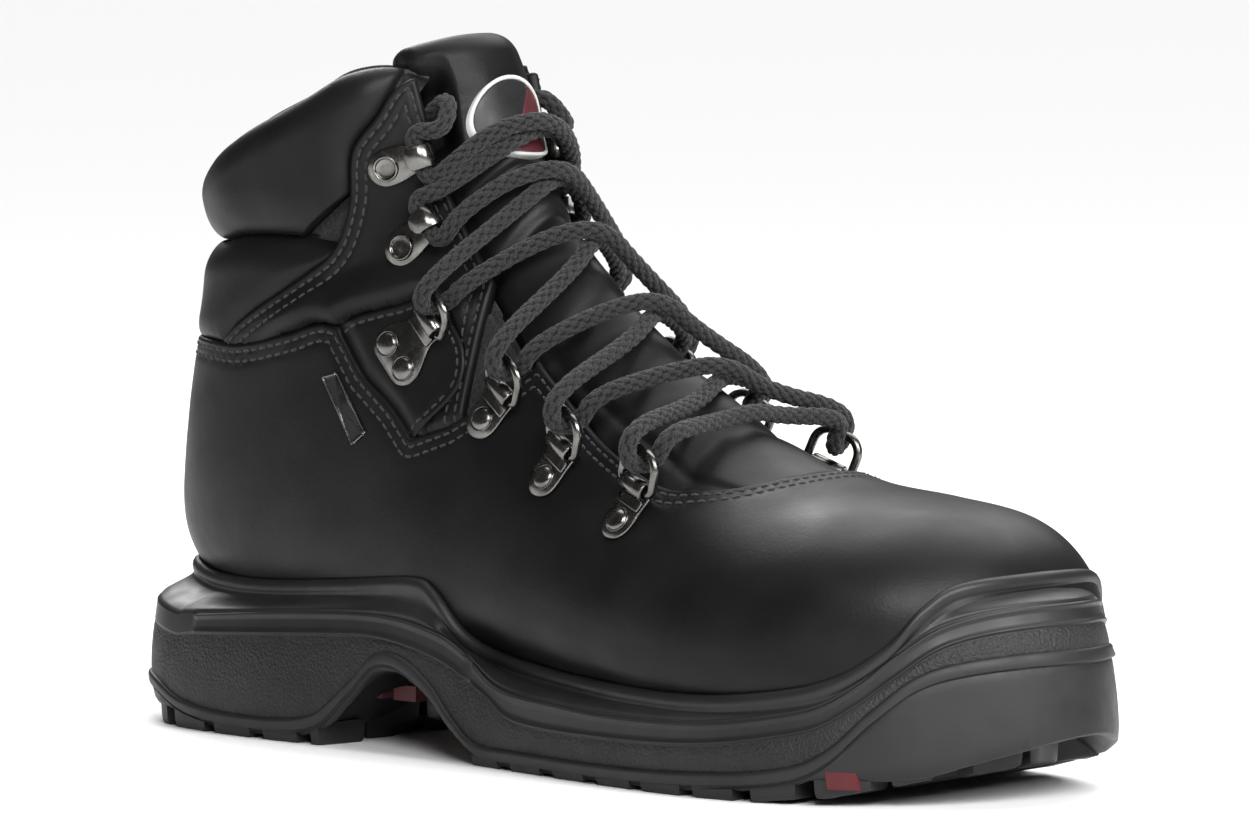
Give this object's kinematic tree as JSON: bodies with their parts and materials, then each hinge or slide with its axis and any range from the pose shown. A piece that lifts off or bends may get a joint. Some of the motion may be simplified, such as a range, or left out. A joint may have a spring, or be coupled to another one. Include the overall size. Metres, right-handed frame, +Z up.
{
  "type": "safety work boot",
  "caption": "Black leather lace-up safety work boot with steel toe cap, padded collar, D-ring lacing and lugged moulded sole.",
  "frame": {"origin": "middle of the bottom of the boot's box, on the ground under the sole", "axes": "+X towards the toe, -Y towards the outer side of this right boot, +Z up"},
  "size_m": [0.3094, 0.104, 0.1865],
  "materials": {
    "leather": "full-grain black leather, fine pebble grain, low sheen",
    "midsole_pu": "moulded black PU, smooth bands and a fine pebble texture",
    "outsole_rubber": "matt black nitrile rubber",
    "red_rubber": "dark red rubber",
    "plate_steel": "plain pressed steel",
    "plate_textile": "tightly woven layers of high-tenacity yarn",
    "board": "bonded fibre board",
    "footbed_fabric": "felt-faced foam",
    "foam": "open-cell foam",
    "membrane": "thin laminated membrane",
    "lining_mesh": "dark knitted lining",
    "gusset_fabric": "coated black fabric",
    "badge_dark": "dark moulded badge",
    "badge_red": "dark red moulded badge",
    "nickel": "satin nickel plate",
    "lace_cord": "round black braided polyester",
    "aglet_plastic": "shrunk plastic sleeve"
  },
  "bodies": {
    "root": {"ankle_patch_lateral": "leather", "ankle_patch_medial": "leather", "collar_cover": "leather", "collar_foam": "foam", "heel_counter": "board", "heel_flex_foam": "foam", "heel_flex_panel": "leather", "hook_panel_lateral": "leather", "hook_panel_medial": "leather", "insole_board": "board", "lace": "lace_cord", "lace_aglets": "aglet_plastic", "lace_hook_lateral_1": "nickel", "lace_hook_lateral_2": "nickel", "lace_hook_medial_1": "nickel", "lace_hook_medial_2": "nickel", "lacing_rivets": "nickel", "lining": "lining_mesh", "midsole": "midsole_pu", "outsole": "outsole_rubber", "outsole_inserts": "red_rubber", "penetration_plate": "plate_textile", "ring_plate_lateral_1": "nickel", "ring_plate_lateral_2": "nickel", "ring_plate_lateral_3": "nickel", "ring_plate_lateral_4": "nickel", "ring_plate_medial_1": "nickel", "ring_plate_medial_2": "nickel", "ring_plate_medial_3": "nickel", "ring_plate_medial_4": "nickel", "side_tag": "nickel", "steel_toe_cap": "plate_steel", "toe_cap_edge_strip": "foam", "tongue_badge": "badge_dark", "tongue_badge_inlay": "badge_red", "tongue_cover": "leather", "tongue_foam": "foam", "tongue_gussets": "gusset_fabric", "tongue_lining": "lining_mesh", "upper_interlining": "foam", "vamp_and_quarters": "leather", "waterproof_bootie": "membrane"},
    "footbed": {"footbed": "footbed_fabric"},
    "d_ring_lateral_1": {"d_ring_lateral_1": "nickel"},
    "d_ring_lateral_2": {"d_ring_lateral_2": "nickel"},
    "d_ring_lateral_3": {"d_ring_lateral_3": "nickel"},
    "d_ring_lateral_4": {"d_ring_lateral_4": "nickel"},
    "d_ring_medial_1": {"d_ring_medial_1": "nickel"},
    "d_ring_medial_2": {"d_ring_medial_2": "nickel"},
    "d_ring_medial_3": {"d_ring_medial_3": "nickel"},
    "d_ring_medial_4": {"d_ring_medial_4": "nickel"}
  },
  "joints": [
    {"name": "footbed_lift", "type": "hinge", "parent": "root", "child": "footbed", "pos_m": [0.1335, 0.0036, 0.026], "axis": [0, 1, 0], "range_deg": [0, 6]},
    {"name": "d_ring_lateral_1_swing", "type": "hinge", "parent": "root", "child": "d_ring_lateral_1", "pos_m": [0.04192, -0.03542, 0.07484], "axis": [-0.9235, 0.2149, 0.3179], "range_deg": [-8, 8], "deforming": ["lace"]},
    {"name": "d_ring_lateral_2_swing", "type": "hinge", "parent": "root", "child": "d_ring_lateral_2", "pos_m": [0.01289, -0.0314, 0.08332], "axis": [-0.8589, 0.2335, 0.4557], "range_deg": [-8, 8], "deforming": ["lace"]},
    {"name": "d_ring_lateral_3_swing", "type": "hinge", "parent": "root", "child": "d_ring_lateral_3", "pos_m": [-0.01254, -0.02674, 0.09599], "axis": [-0.8089, 0.1408, 0.5708], "range_deg": [-8, 8], "deforming": ["lace"]},
    {"name": "d_ring_lateral_4_swing", "type": "hinge", "parent": "root", "child": "d_ring_lateral_4", "pos_m": [-0.03914, -0.02588, 0.11293], "axis": [-0.6887, 0.0392, 0.724], "range_deg": [-8, 8], "deforming": ["lace"]},
    {"name": "d_ring_medial_1_swing", "type": "hinge", "parent": "root", "child": "d_ring_medial_1", "pos_m": [0.04219, 0.0384, 0.07485], "axis": [0.9129, 0.1908, -0.3608], "range_deg": [-8, 8], "deforming": ["lace"]},
    {"name": "d_ring_medial_2_swing", "type": "hinge", "parent": "root", "child": "d_ring_medial_2", "pos_m": [0.01332, 0.03606, 0.08307], "axis": [0.8482, 0.1359, -0.512], "range_deg": [-8, 8], "deforming": ["lace"]},
    {"name": "d_ring_medial_3_swing", "type": "hinge", "parent": "root", "child": "d_ring_medial_3", "pos_m": [-0.01232, 0.03435, 0.09584], "axis": [0.8001, 0.0798, -0.5946], "range_deg": [-8, 8], "deforming": ["lace"]},
    {"name": "d_ring_medial_4_swing", "type": "hinge", "parent": "root", "child": "d_ring_medial_4", "pos_m": [-0.03909, 0.03492, 0.11287], "axis": [0.6857, 0.0228, -0.7276], "range_deg": [-8, 8], "deforming": ["lace"]}
  ]
}
